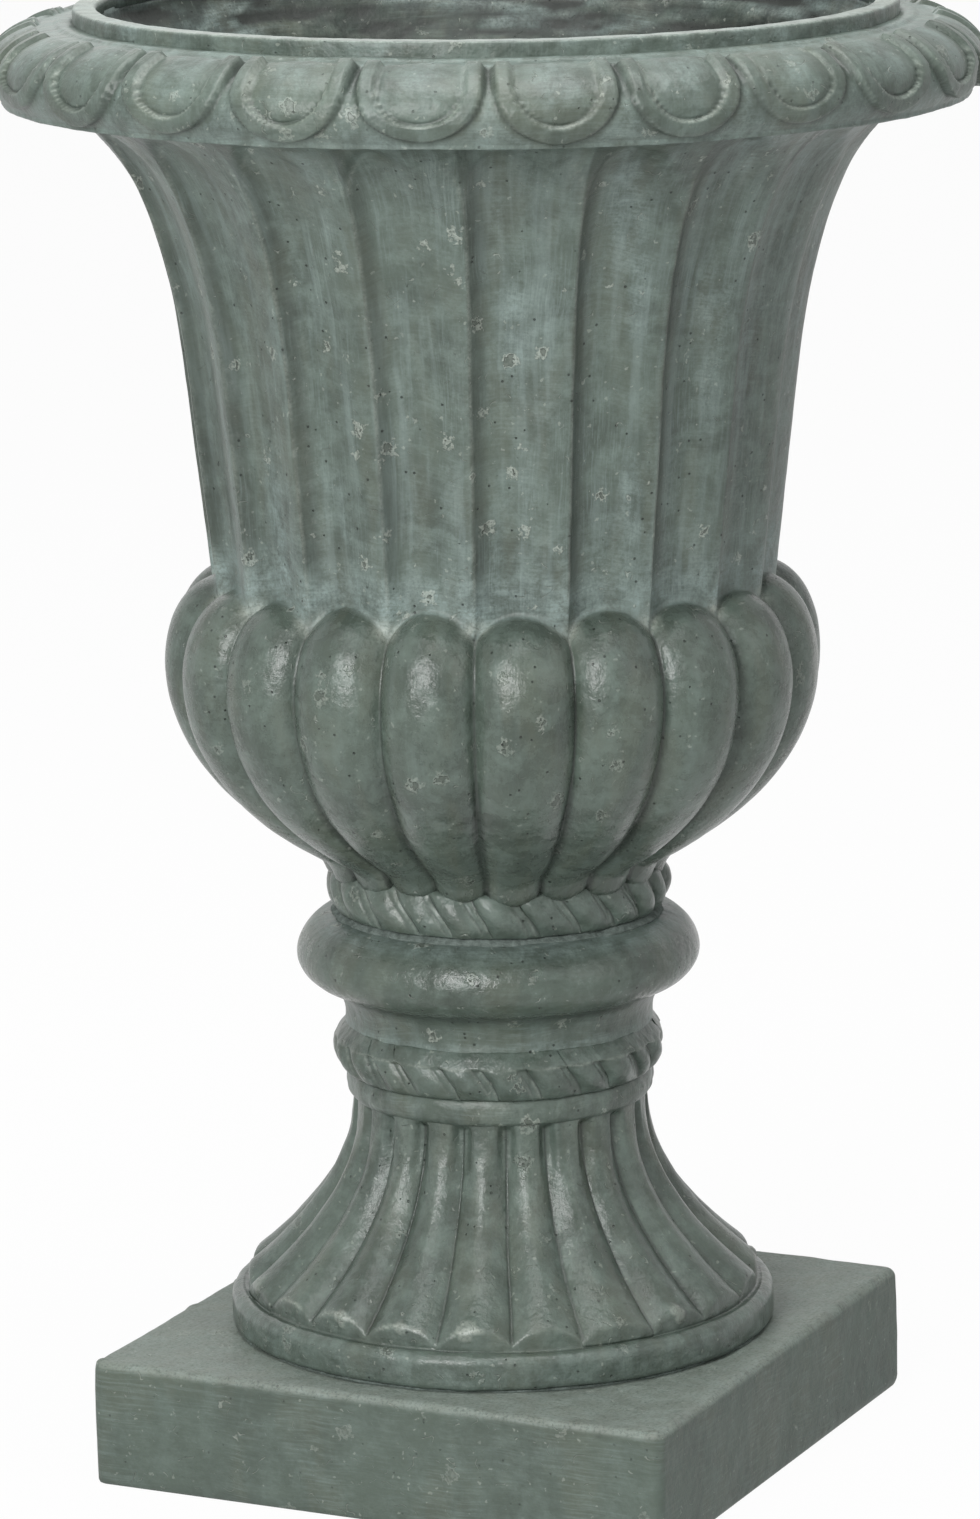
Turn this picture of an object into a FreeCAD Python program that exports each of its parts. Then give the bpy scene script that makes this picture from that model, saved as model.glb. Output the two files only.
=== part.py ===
import FreeCAD
import Part

import math
import os

# Garden urn planter in cast fibre clay: a fluted and gadrooned bowl on a reeded pedestal
# and a square plinth, bedded together and drawn tight by one threaded rod.
# Millimetres, +Z up, origin at the centre of the plinth's underside. The plinth's sides face X and Y.

# Heights that set the whole outline
plinth_height = 65.0
plinth_bed = 2.0
pedestal_height = 216.0
bowl_bed = 3.0
collar_height = 24.0
belly_above_collar = 106.5
shoulder_rise = 46.0
throat_height = 241.0
rim_height = 39.5
lip_height = 7.5

# Plinth, as wide as the pedestal's base ring and a margin, and hollow to clear the rod's hardware
plinth_margin = 17.5
plinth_corner_round = 5.0
plinth_edge_round = 4.0
plinth_wall = 28.0
plinth_drain_r = 40.0
hardware_headroom = 6.0

# Bowl: mouth, lip and rim, each stepping out from the one before
mouth_r = 195.0
lip_width = 12.0
lip_round = 2.0
rim_step = 7.0
rim_swell = 36.0
rim_tuck = 7.0
rim_overhang = 6.5
egg_count = 24
egg_turn = 2.5
egg_width_share = 0.94
egg_straight_share = 0.42
egg_tip_share = 0.92
egg_band_share = 0.32
egg_band_relief = 3.6
egg_tongue_relief = 3.0
rim_fade_share = 0.08

# Bowl: fluted throat and gadrooned belly, which share one count
flute_count = 20
flute_turn = 12.8
flute_depth = 6.0
belly_r = 168.0
throat_setback = 23.5
throat_taper = 0.108
flare_height = 133.5
flare_sharpness = 0.35
gadroon_depth = 11.0
gadroon_depth_at_collar = 5.0
gadroon_roundness = 2.6
gadroon_arch = 9.0
gadroon_tail = 23.5
gadroon_tuck_share = 0.4
gadroon_foot_r = 54.7
shoulder_root = 14.0
shoulder_fullness = 0.8
cove_softness = 2.5

# Bowl: inside
wall = 20.0
belly_wall_share = 1.2
hollow_levels = (0.8, 0.45, 0.0)
floor_thickness = 28.0
floor_setback = 17.0
mouth_wall_height = 12.0
spigot_wall = 8.0
spigot_depth = 12.0

# Rope bands of the bowl and of the pedestal
rope_count = 24
rope_lean = 9.0
rope_strand_relief = 3.2
rope_roundness = 2.2
collar_r = 88.5
collar_edge_r = 83.0
pedestal_rope_swell = 6.5
pedestal_rope_step = 3.0
pedestal_rope_height = 25.0

# Pedestal
torus_swell = 22.0
torus_step = 5.5
torus_height = 41.5
torus_widest_share = 0.62
neck_step = 1.7
neck_height = 15.5
bead_swell = 2.5
bead_height = 14.0
reed_count = 22
reed_turn = 10.4
reed_top_r = 76.5
reed_depth_top = 3.5
reed_depth_foot = 9.0
reed_roundness = 1.4
foot_band_height = 10.0
foot_ring_r = 141.0
foot_ring_height = 18.0
foot_ring_round = 6.0
foot_ledge = 8.5
core_ledge = 4.0
core_wall = 10.0
core_foot_wall = 37.0
core_neck_height = 120.0
core_flare_bulge = 0.25
core_flare_level = 0.62
socket_clearance = 1.0
bowl_bed_setback = 2.0
pedestal_bed_setback = 3.0
cut_margin = 1.0

# Tie rod and its hardware
rod_r = 6.0
rod_end = 6.0
rod_hole_clearance = 1.5
thread_clearance = 0.05
nut_across_flats = 19.0
nut_height = 10.0
jam_nut_height = 7.0
washer_r = 20.0
washer_thickness = 3.0
washer_hole_clearance = 0.5
seal_lip = 2.0
seal_thickness = 3.0
clamp_bar_length = 150.0
clamp_bar_width = 40.0
clamp_bar_thickness = 6.0

# Drain holes and their plugs
drain_count = 3
drain_hole_r = 8.0
plug_spacing = 2.0
plug_clearance = 0.3
plug_seat_gap = 0.3
plug_head_r = 12.0
plug_head_height = 4.0
plug_shank_length = 20.0
plug_taper = 1.0
plug_knob_r = 6.0
plug_waist_r = 3.5
plug_knob_height = 12.0
plug_waist_share = 0.33
plug_knob_level = 0.68
plug_bevel = 1.0

# Heights worked out from the ones above
pedestal_foot_z = plinth_height + plinth_bed
pedestal_top_z = pedestal_foot_z + pedestal_height
bowl_foot_z = pedestal_top_z + bowl_bed
belly_z = bowl_foot_z + collar_height + belly_above_collar
shoulder_z = belly_z + shoulder_rise
rim_under_z = shoulder_z + throat_height
rim_top_z = rim_under_z + rim_height
lip_z = rim_top_z + lip_height
floor_z = bowl_foot_z + floor_thickness
nuts_height = nut_height + jam_nut_height
slab_under_z = hardware_headroom + rod_end / 2 + nuts_height + washer_thickness + clamp_bar_thickness

# Widths worked out from the ones above
plinth_side = 2 * (foot_ring_r + plinth_margin)
rim_top_r = mouth_r + lip_width + rim_step
rim_r = rim_top_r + rim_swell
rim_under_r = rim_r - rim_tuck
throat_foot_r = belly_r - throat_setback
flare_reach = rim_under_r - rim_overhang - throat_foot_r - throat_taper * throat_height
gadroon_drop = belly_above_collar + gadroon_tail
floor_r = collar_edge_r - floor_setback
torus_root_r = reed_top_r + torus_step
torus_r = torus_root_r + torus_swell
neck_r = reed_top_r + neck_step
bead_r = reed_top_r + bead_swell
pedestal_rope_edge_r = reed_top_r + pedestal_rope_step
pedestal_rope_r = pedestal_rope_edge_r + pedestal_rope_swell
foot_r = foot_ring_r - foot_ledge
core_foot_r = foot_ring_r - core_foot_wall
seal_r = washer_r + seal_lip
drain_circle_r = seal_r + plug_spacing + plug_head_r
spigot_r = drain_circle_r + drain_hole_r + spigot_wall
core_r = drain_circle_r + drain_hole_r + core_ledge

up = FreeCAD.Vector(0, 0, 1)
origin = FreeCAD.Vector(0, 0, 0)


def point(radius, height, degrees=0.0):
    angle = math.radians(degrees)
    return FreeCAD.Vector(radius * math.cos(angle), radius * math.sin(angle), height)


def cylinder(radius, bottom, top):
    return Part.makeCylinder(radius, top - bottom, point(0, bottom))


def ring(outer, inner, bottom, top):
    return cylinder(outer, bottom, top).cut(cylinder(inner, bottom, top))


def turned(edges):
    # A solid of revolution about Z from the edges of a closed half outline.
    return Part.Face(Part.Wire(edges)).revolve(origin, up, 360)


def chain(*corners):
    # Straight edges from corner to corner, each corner a (radius, height) pair.
    spots = [point(*corner) for corner in corners]
    return [Part.LineSegment(a, b).toShape() for a, b in zip(spots, spots[1:])]


def arc(start, middle, end):
    return Part.Arc(point(*start), point(*middle), point(*end)).toShape()


def round_corner(radius, height, bend, start, end):
    # An arc of the given bend about (radius, height), with 0 degrees outward and 90 upward.
    spots = []
    for degrees in (start, (start + end) / 2, end):
        angle = math.radians(degrees)
        spots.append((radius + bend * math.cos(angle), height + bend * math.sin(angle)))
    return arc(*spots)


def quarter_round(start, corner, end):
    # A quarter of an ellipse from start to end that sets out and arrives along the corner's two sides.
    bend = 0.5523
    poles = [start]
    for spot in (start, end):
        poles.append(tuple(a + bend * (b - a) for a, b in zip(spot, corner)))
    curve = Part.BezierCurve()
    curve.setPoles([point(*pole) for pole in poles + [end]])
    return curve.toShape()


def smooth_line(*spots):
    # One smooth edge through (radius, height) pairs.
    curve = Part.BSplineCurve()
    curve.interpolate([point(*spot) for spot in spots])
    return curve.toShape()


def net_surface(net):
    # A smooth cubic surface drawn over a net of points, which it meets at the net's edges.
    degree = 3

    def knots(count):
        values = list(range(count - degree + 1))
        return values, [degree + 1] + [1] * (len(values) - 2) + [degree + 1]

    across_knots, across_mults = knots(len(net))
    along_knots, along_mults = knots(len(net[0]))
    surface = Part.BSplineSurface()
    surface.buildFromPolesMultsKnots(
        net, across_mults, along_mults, across_knots, along_knots, False, False, degree, degree
    )
    return surface


def carved_drum(count, turn, columns, rows, place):
    # A drum closed by flat ends, whose side is one carved panel repeated round the axis.
    # place(across, along) gives radius, height and lean in degrees. Across runs from -1 to 1
    # between the panel's two side creases, and along runs from 0 at the foot to 1 at the top.
    pitch = 360.0 / count
    grid = []
    for column in range(columns + 1):
        across = 2.0 * column / columns - 1.0
        line = []
        for row in range(rows + 1):
            radius, height, lean = place(across, row / rows)
            line.append(point(radius, height, turn + pitch * across / 2 + lean))
        grid.append(line)
    surface = net_surface(grid)
    low, high = surface.bounds()[2:]
    pieces = {
        "side": surface.toShape(),
        "foot": surface.vIso(low).toShape(),
        "top": surface.vIso(high).toShape(),
    }
    faces = []
    for name, piece in pieces.items():
        copies = [piece.copy() for _ in range(count)]
        for number, copy in enumerate(copies):
            copy.rotate(origin, up, pitch * number)
        if name == "side":
            faces += copies
        else:
            faces.append(Part.Face(Part.Wire(Part.__sortEdges__(copies))))
    shell = Part.makeShell(faces)
    shell.sewShape()
    drum = Part.makeSolid(shell)
    if drum.Volume < 0:
        drum.reverse()
    return drum


def soft_max(a, b, softness):
    # The larger of two lengths, with the corner between them rounded.
    largest = max(a, b)
    return largest + softness * math.log(
        math.exp((a - largest) / softness) + math.exp((b - largest) / softness)
    )


def throat_radius(height, across):
    # Arris radius of the throat at a height, less the hollow of the flute between two arrises.
    arris = throat_foot_r + throat_taper * (height - shoulder_z)
    risen = (height - (rim_under_z - flare_height)) / flare_height
    if risen > 0:
        arris += flare_reach * (1 - (1 - min(risen, 1.0) ** 2) ** flare_sharpness)
    return arris - flute_depth * (1 - across**2)


belly_rows_share = 0.36
shoulder_rows_share = 0.62


def bowl_side(across, along):
    # From inside the rope collar, over the gadroons and up the flutes to the rim's underside.
    lobe_fall = abs(across) ** gadroon_roundness
    if along < belly_rows_share:
        lowest = (belly_above_collar + gadroon_tuck_share * collar_height) / gadroon_drop
        draw_in = (belly_r - gadroon_foot_r) / (1 - math.cos(math.asin(lowest)))
        sink = (1 - along / belly_rows_share) * lowest
        swing = math.asin(sink)
        depth = gadroon_depth + (gadroon_depth_at_collar - gadroon_depth) * sink
        radius = belly_r - draw_in * (1 - math.cos(swing)) - depth * lobe_fall
        return radius, belly_z - gadroon_drop * math.sin(swing), 0
    arch_top = shoulder_rise - gadroon_arch * across**2
    root = throat_foot_r - shoulder_root
    crest = belly_r - gadroon_depth * lobe_fall
    if along < shoulder_rows_share:
        swing = math.pi / 2 * (along - belly_rows_share) / (shoulder_rows_share - belly_rows_share)
        height = belly_z + arch_top * math.sin(swing)
        lobe = root + (crest - root) * math.cos(swing) ** shoulder_fullness
    else:
        climb = (along - shoulder_rows_share) / (1 - shoulder_rows_share)
        rise = math.sin(climb * math.pi / 2)
        height = belly_z + arch_top + (shoulder_rise + throat_height - arch_top) * rise
        lobe = root
    return soft_max(throat_radius(height, across), lobe, cove_softness), height, 0


def smooth_bump(offset):
    # A rounded swell of height 1 that dies out level at one unit to either side.
    return (1 + math.cos(math.pi * min(1.0, abs(offset)))) / 2


def egg_relief(across, down):
    # Height of the egg and its raised border above the rim's round, at a place on one panel.
    # Down runs from 0 at the lip to 1 at the rim's lower edge.
    past = max(0.0, down - egg_straight_share) / (egg_tip_share - egg_straight_share)
    reach = math.hypot(across / egg_width_share, past)
    band = smooth_bump((reach - (1 - egg_band_share / 2)) / (egg_band_share / 2))
    tongue = max(0.0, 1 - (reach / (1 - egg_band_share)) ** 2) ** 2
    return egg_band_relief * band + egg_tongue_relief * tongue


def rim_side(across, along):
    # The rim's round from its lower edge up and over to the foot of the lip.
    reach = rim_r - rim_top_r
    tuck = math.acos((rim_under_r - rim_top_r) / reach)
    rise = rim_height / (1 + math.sin(tuck))
    swing = along * (math.pi / 2 + tuck) - tuck
    fade = 1 - smooth_bump(min(along, 1 - along) / rim_fade_share)
    relief = egg_relief(across, 1 - along) * fade
    radius = rim_top_r + (reach + relief) * math.cos(swing)
    return radius, rim_top_z - rise + (rise + relief) * math.sin(swing), 0


def rope_side(foot_z, height, middle_r, edge_r, low_lean):
    # One strand of a rope band, bounded by the creases between it and its neighbours.
    def place(across, along):
        swell = math.sin(math.pi * along)
        strand = 1 - abs(across) ** rope_roundness
        relief = rope_strand_relief * strand * math.sqrt(swell)
        radius = edge_r + (middle_r - rope_strand_relief - edge_r) * swell + relief
        return radius, foot_z + height * along, low_lean * (0.5 - along)

    return place


def reed_side(across, along):
    # The pedestal's bell of reeds, carried past the foot so that the foot's band can trim it.
    top_z = pedestal_top_z - torus_height - neck_height - pedestal_rope_height - bead_height
    low_z = pedestal_foot_z + foot_ring_height
    height = low_z + (top_z - low_z) * along
    drop = (top_z - height) / (top_z - low_z - foot_band_height)
    depth = reed_depth_foot + (reed_depth_top - reed_depth_foot) * along
    crest = reed_top_r + (foot_r - reed_top_r) * drop**2
    return crest - depth * abs(across) ** reed_roundness, height, 0


def bowl_hollow():
    # The planting space: straight at the mouth, then following the throat and belly one wall in.
    mouth_foot_z = lip_z - mouth_wall_height
    over_z = lip_z + lip_height
    spots = [(mouth_r, mouth_foot_z)]
    for share in hollow_levels:
        height = shoulder_z + share * throat_height
        spots.append((throat_radius(height, 0) - wall, height))
    spots.append((belly_r - gadroon_depth - wall, belly_z))
    valley_r, valley_z, _ = bowl_side(1, belly_rows_share / 2)
    spots.append((valley_r - belly_wall_share * wall, valley_z))
    spots.append((floor_r, floor_z))
    mouth = [
        *chain((floor_r, floor_z), (0, floor_z), (0, over_z), (mouth_r + lip_round, over_z)),
        *chain((mouth_r + lip_round, over_z), (mouth_r + lip_round, lip_z)),
        round_corner(mouth_r + lip_round, lip_z - lip_round, lip_round, 90, 180),
        *chain((mouth_r, lip_z - lip_round), (mouth_r, mouth_foot_z)),
    ]
    return turned([smooth_line(*spots)] + mouth)


def drain_spots():
    return [point(drain_circle_r, 0, 360.0 / drain_count * number) for number in range(drain_count)]


def make_bowl():
    body = carved_drum(flute_count, flute_turn, 8, 44, bowl_side)
    rim = carved_drum(egg_count, egg_turn, 18, 18, rim_side)
    collar = carved_drum(
        rope_count,
        flute_turn,
        10,
        12,
        rope_side(bowl_foot_z, collar_height, collar_r, collar_edge_r, rope_lean),
    )
    lip_r = mouth_r + lip_width
    lip = turned([
        *chain((0, rim_under_z), (lip_r, rim_under_z), (lip_r, lip_z - lip_round)),
        round_corner(lip_r - lip_round, lip_z - lip_round, lip_round, 0, 90),
        *chain((lip_r - lip_round, lip_z), (0, lip_z), (0, rim_under_z)),
    ])
    spigot = cylinder(spigot_r, bowl_foot_z - spigot_depth, floor_z)
    bowl = body.fuse([rim, collar, lip, spigot]).cut(bowl_hollow())
    holes = [cylinder(rod_r + rod_hole_clearance, 0, lip_z)]
    for spot in drain_spots():
        hole = cylinder(drain_hole_r, 0, lip_z)
        hole.translate(spot)
        holes.append(hole)
    return bowl.cut(holes)


def make_pedestal():
    torus_z = pedestal_top_z - torus_height
    neck_z = torus_z - neck_height
    rope_z = neck_z - pedestal_rope_height
    bead_z = rope_z - bead_height
    ring_z = pedestal_foot_z + foot_ring_height
    widest_z = torus_z + torus_widest_share * torus_height
    outline = [
        *chain((0, pedestal_top_z), (torus_root_r, pedestal_top_z)),
        quarter_round((torus_root_r, pedestal_top_z), (torus_r, pedestal_top_z), (torus_r, widest_z)),
        quarter_round((torus_r, widest_z), (torus_r, torus_z), (torus_root_r, torus_z)),
        arc((torus_root_r, torus_z), (neck_r, (torus_z + neck_z) / 2), (pedestal_rope_edge_r, neck_z)),
        *chain((pedestal_rope_edge_r, neck_z), (reed_top_r, rope_z)),
        arc((reed_top_r, rope_z), (bead_r, (rope_z + bead_z) / 2), (reed_top_r, bead_z)),
        *chain(
            (reed_top_r, bead_z),
            (core_r + core_wall, bead_z),
            (core_r + core_wall, ring_z),
            (foot_ring_r - foot_ring_round, ring_z),
        ),
        round_corner(foot_ring_r - foot_ring_round, ring_z - foot_ring_round, foot_ring_round, 90, 0),
        *chain((foot_ring_r, ring_z - foot_ring_round), (foot_ring_r, pedestal_foot_z)),
        *chain((foot_ring_r, pedestal_foot_z), (0, pedestal_foot_z), (0, pedestal_top_z)),
    ]
    rope = carved_drum(
        rope_count,
        flute_turn,
        10,
        12,
        rope_side(rope_z, pedestal_rope_height, pedestal_rope_r, pedestal_rope_edge_r, rope_lean),
    )
    reeds = carved_drum(reed_count, reed_turn, 12, 24, reed_side)
    band = cylinder(foot_r, ring_z - cut_margin, bead_z + cut_margin)
    return turned(outline).fuse([rope, reeds.common(band)]).cut(pedestal_core())


def pedestal_core():
    # The hollow that lets water through: straight at the neck, flaring under the foot.
    flare_z = pedestal_top_z - core_neck_height
    low, high = pedestal_foot_z - cut_margin, pedestal_top_z + cut_margin
    flare = arc(
        (core_r, flare_z),
        (core_r + core_flare_bulge * (core_foot_r - core_r), flare_z - core_flare_level * (flare_z - low)),
        (core_foot_r, low),
    )
    core = turned(chain((core_foot_r, low), (0, low), (0, high), (core_r, high), (core_r, flare_z)) + [flare])
    socket = cylinder(spigot_r + socket_clearance, bowl_foot_z - spigot_depth - socket_clearance, high)
    return core.fuse(socket)


def make_plinth():
    half = plinth_side / 2
    block = Part.makeBox(plinth_side, plinth_side, plinth_height, FreeCAD.Vector(-half, -half, 0))
    uprights = [edge for edge in block.Edges if abs(edge.BoundBox.ZLength - plinth_height) < 0.01]
    block = block.makeFillet(plinth_corner_round, uprights)
    top_edges = [edge for edge in block.Edges if edge.BoundBox.ZMin > plinth_height - 0.01]
    block = block.makeFillet(plinth_edge_round, top_edges)
    hollow_half = half - plinth_wall
    hollow = Part.makeBox(
        2 * hollow_half, 2 * hollow_half, slab_under_z, FreeCAD.Vector(-hollow_half, -hollow_half, 0)
    )
    return block.cut([hollow, cylinder(plinth_drain_r, 0, plinth_height)])


def hex_nut(bottom, height):
    corner = nut_across_flats / math.sqrt(3)
    outline = [point(corner, bottom, 60 * number) for number in range(7)]
    body = Part.Face(Part.makePolygon(outline)).extrude(up * height)
    return body.cut(cylinder(rod_r + thread_clearance, bottom, bottom + height))


def make_clamp_bar(bottom):
    bar = Part.makeBox(
        clamp_bar_length,
        clamp_bar_width,
        clamp_bar_thickness,
        FreeCAD.Vector(-clamp_bar_length / 2, -clamp_bar_width / 2, bottom),
    )
    return bar.cut(cylinder(rod_r + washer_hole_clearance, bottom, bottom + clamp_bar_thickness))


def make_plug(spot):
    # A soft bung: tapered shank in the drain hole, flat head on the floor and a knob to pull.
    seat_z = floor_z + plug_seat_gap
    head_z = seat_z + plug_head_height
    waist_z = head_z + plug_waist_share * plug_knob_height
    knob_z = head_z + plug_knob_height
    shank_r = drain_hole_r - plug_clearance
    outline = [
        *chain((0, seat_z - plug_shank_length), (shank_r - plug_taper, seat_z - plug_shank_length)),
        *chain((shank_r - plug_taper, seat_z - plug_shank_length), (shank_r, seat_z), (plug_head_r, seat_z)),
        *chain((plug_head_r, seat_z), (plug_head_r, head_z - plug_bevel)),
        *chain((plug_head_r, head_z - plug_bevel), (plug_head_r - plug_bevel, head_z)),
        *chain((plug_head_r - plug_bevel, head_z), (plug_waist_r, head_z)),
        *chain((plug_waist_r, head_z), (plug_waist_r, waist_z)),
        arc(
            (plug_waist_r, waist_z),
            (plug_knob_r, head_z + plug_knob_level * plug_knob_height),
            (plug_waist_r, knob_z),
        ),
        *chain((plug_waist_r, knob_z), (0, knob_z), (0, seat_z - plug_shank_length)),
    ]
    plug = turned(outline)
    plug.translate(spot)
    return plug


def make_parts():
    bowl_bed_r = collar_edge_r - bowl_bed_setback
    pedestal_bed_r = foot_ring_r - pedestal_bed_setback
    washer_hole = rod_r + washer_hole_clearance
    seal_top = floor_z + seal_thickness
    top_washer_top = seal_top + washer_thickness
    bar_z = slab_under_z - clamp_bar_thickness
    low_washer_z = bar_z - washer_thickness
    low_nut_z = low_washer_z - nut_height
    jam_nut_z = low_nut_z - jam_nut_height
    parts = {
        "bowl": make_bowl(),
        "pedestal": make_pedestal(),
        "plinth": make_plinth(),
        "bowl_bedding": ring(bowl_bed_r, spigot_r + socket_clearance, pedestal_top_z, bowl_foot_z),
        "pedestal_bedding": ring(pedestal_bed_r, core_foot_r, plinth_height, pedestal_foot_z),
        "tie_rod": cylinder(rod_r, jam_nut_z - rod_end / 2, top_washer_top + nut_height + rod_end),
        "top_seal": ring(seal_r, washer_hole, floor_z, seal_top),
        "top_washer": ring(washer_r, washer_hole, seal_top, top_washer_top),
        "top_nut": hex_nut(top_washer_top, nut_height),
        "clamp_bar": make_clamp_bar(bar_z),
        "bottom_washer": ring(washer_r, washer_hole, low_washer_z, bar_z),
        "bottom_nut": hex_nut(low_nut_z, nut_height),
        "jam_nut": hex_nut(jam_nut_z, jam_nut_height),
    }
    for number, spot in enumerate(drain_spots(), start=1):
        parts[f"drain_plug_{number}"] = make_plug(spot)
    return parts


os.makedirs("parts", exist_ok=True)
for name, shape in make_parts().items():
    shape.exportStep(f"parts/{name}.step")
    print(f"{name}: {len(shape.Solids)} solid, valid {shape.isValid()}, {shape.Volume / 1000:.1f} cm3")
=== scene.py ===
import itertools
import math

import bpy
import numpy as np
from mathutils import Matrix, Vector
from mathutils.geometry import delaunay_2d_cdt


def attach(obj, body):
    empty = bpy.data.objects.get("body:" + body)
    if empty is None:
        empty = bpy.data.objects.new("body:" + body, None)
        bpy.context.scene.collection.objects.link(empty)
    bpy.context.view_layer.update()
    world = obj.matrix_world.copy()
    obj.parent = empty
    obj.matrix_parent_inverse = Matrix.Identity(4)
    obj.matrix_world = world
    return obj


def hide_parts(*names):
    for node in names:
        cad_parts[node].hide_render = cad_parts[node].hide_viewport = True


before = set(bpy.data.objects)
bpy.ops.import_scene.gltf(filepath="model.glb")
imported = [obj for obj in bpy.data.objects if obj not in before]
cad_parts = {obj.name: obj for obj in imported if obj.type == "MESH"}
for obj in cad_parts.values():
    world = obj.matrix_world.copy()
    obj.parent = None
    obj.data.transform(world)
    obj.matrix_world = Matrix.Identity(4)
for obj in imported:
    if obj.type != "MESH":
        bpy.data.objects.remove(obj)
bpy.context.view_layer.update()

# Garden urn planter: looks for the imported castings, bedding, rod and plugs. Sizes below are in millimetres.
mm = 0.001
join = np.concatenate
widest, tallest = 252.2, 750.5  # no piece reaches past the castings
traitNames = ("wearAndSheen", "hollow", "frost", "rawAndLit", "burnish")
print("frame loaded")


# Shared making of surfaces

def softNoise(spots, size, seed):  # smooth random field of about -1 to 1 with lumps of that size
    count, farAway = 32, 1000
    table = np.random.default_rng(seed).uniform(-1, 1, (count, count, count))
    place = np.asarray(spots) / size + farAway
    cell = np.floor(place).astype(int)
    part = place - cell
    part = part * part * (3 - 2 * part)
    total = np.zeros(place.shape[:-1])
    for corner in itertools.product((0, 1), repeat=3):
        share = np.ones(place.shape[:-1])
        for axis in range(3):
            share = share * (part[..., axis] if corner[axis] else 1 - part[..., axis])
        pick = (cell + np.array(corner)) % count
        total += share * table[pick[..., 0], pick[..., 1], pick[..., 2]]
    return total


def noise(spots, size, seed, layers=3):
    total = 0
    for layer in range(layers):
        total = total + softNoise(spots, size / 2**layer, seed + layer) / 2**layer
    return total


def ease(value, low, high):
    share = np.clip((value - low) / (high - low), 0, 1)
    return share * share * (3 - 2 * share)


def hump(value, middle, reach):
    return np.exp(-(((value - middle) / reach) ** 2))


def softMax(a, b, softness):
    largest = np.maximum(a, b)
    return largest + softness * np.log(np.exp((a - largest) / softness) + np.exp((b - largest) / softness))


def polar(theta, radius, height):
    theta, radius, height = np.broadcast_arrays(theta, radius, height)
    return np.stack([radius * np.cos(theta), radius * np.sin(theta), height], -1)


def handSpread(rng, spread, panel):  # one random amount for each panel, given to all its columns
    return rng.normal(0, spread, panel.max() + 1)[panel][:, None]


def evenColumns(count):
    return np.linspace(0, 2 * np.pi, count, endpoint=False)[:, None]


def panelColumns(count, perPanel, turn, wander, seed):  # columns gathered towards the creases between panels
    edges = turn + 360 / count * (np.arange(count) - 0.5)
    edges = edges + np.random.default_rng(seed).normal(0, wander, count)
    widths = np.diff(np.append(edges, edges[0] + 360))
    steps = np.linspace(-1, 1, perPanel, endpoint=False)
    across = 0.5 * steps + 0.5 * np.sin(steps * math.pi / 2)
    theta = edges[:, None] + widths[:, None] * (across + 1) / 2
    return np.radians(theta.ravel())[:, None], np.tile(across, count)[:, None], np.repeat(np.arange(count), perPanel)


def sectionLine(corners, step):  # points along straight runs between (radius, height) corners
    line = []
    for first, second in zip(corners, corners[1:]):
        first, second = np.array(first, float), np.array(second, float)
        count = max(1, int(round(np.linalg.norm(second - first) / step)))
        line += [first + (second - first) * number / count for number in range(count)]
    return np.array(line + [np.array(corners[-1], float)])


def arcLine(centre, reach, start, end, count):  # start and end in degrees, 0 outward and 90 up
    swing = np.radians(np.linspace(start, end, count))
    return np.stack([centre[0] + reach[0] * np.cos(swing), centre[1] + reach[1] * np.sin(swing)], -1)


def lathe(theta, line):  # rings of one (radius, height) line
    return polar(theta, *np.asarray(line, float).T)


def gridNormals(grid):
    around = np.roll(grid, -1, 0) - np.roll(grid, 1, 0)
    along = np.roll(grid, -1, 1) - np.roll(grid, 1, 1)
    normal = np.cross(around, along)
    return normal / np.maximum(np.linalg.norm(normal, axis=-1, keepdims=True), 1e-9)


def swell(grid, amount):  # moves a grid along its own normals
    return grid + gridNormals(grid) * amount[..., None]


def roughen(grid, *layers):  # swells a grid by noises, each with its amount, size and seed
    return swell(grid, sum(amount * noise(grid, size, seed) for amount, size, seed in layers))


def frontOnly(grid, values):  # values on a grid's carved front rows, 0 on its back
    full = np.zeros(grid.shape[:2])
    full[:, :values.shape[-1]] = values
    return full


def edgesOf(grid, scale):  # worn edges, and painted shade in the hollows, each 0 to 1
    near = np.roll(grid, -1, 0) + np.roll(grid, 1, 0) + np.roll(grid, -1, 1) + np.roll(grid, 1, 1)
    hollow = ((near / 4 - grid) * gridNormals(grid)).sum(-1) / scale  # depth below the mean of the neighbours
    return {"wearAndSheen": np.clip(-hollow, 0, 1), "hollow": np.clip(hollow, 0, 1)}


def dress(mesh, traits, sweep):
    for label in traitNames:
        value = np.broadcast_to(traits.get(label, 0), sweep.shape[:-1])
        mesh.attributes.new(label, "FLOAT", "POINT").data.foreach_set("value", value.astype(np.float32).ravel())
    mesh.attributes.new("sweep", "FLOAT_VECTOR", "POINT").data.foreach_set("vector", sweep.astype(np.float32).ravel())


def newObject(name, data):
    thing = bpy.data.objects.new(name, data)
    bpy.context.scene.collection.objects.link(thing)
    return thing


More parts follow.
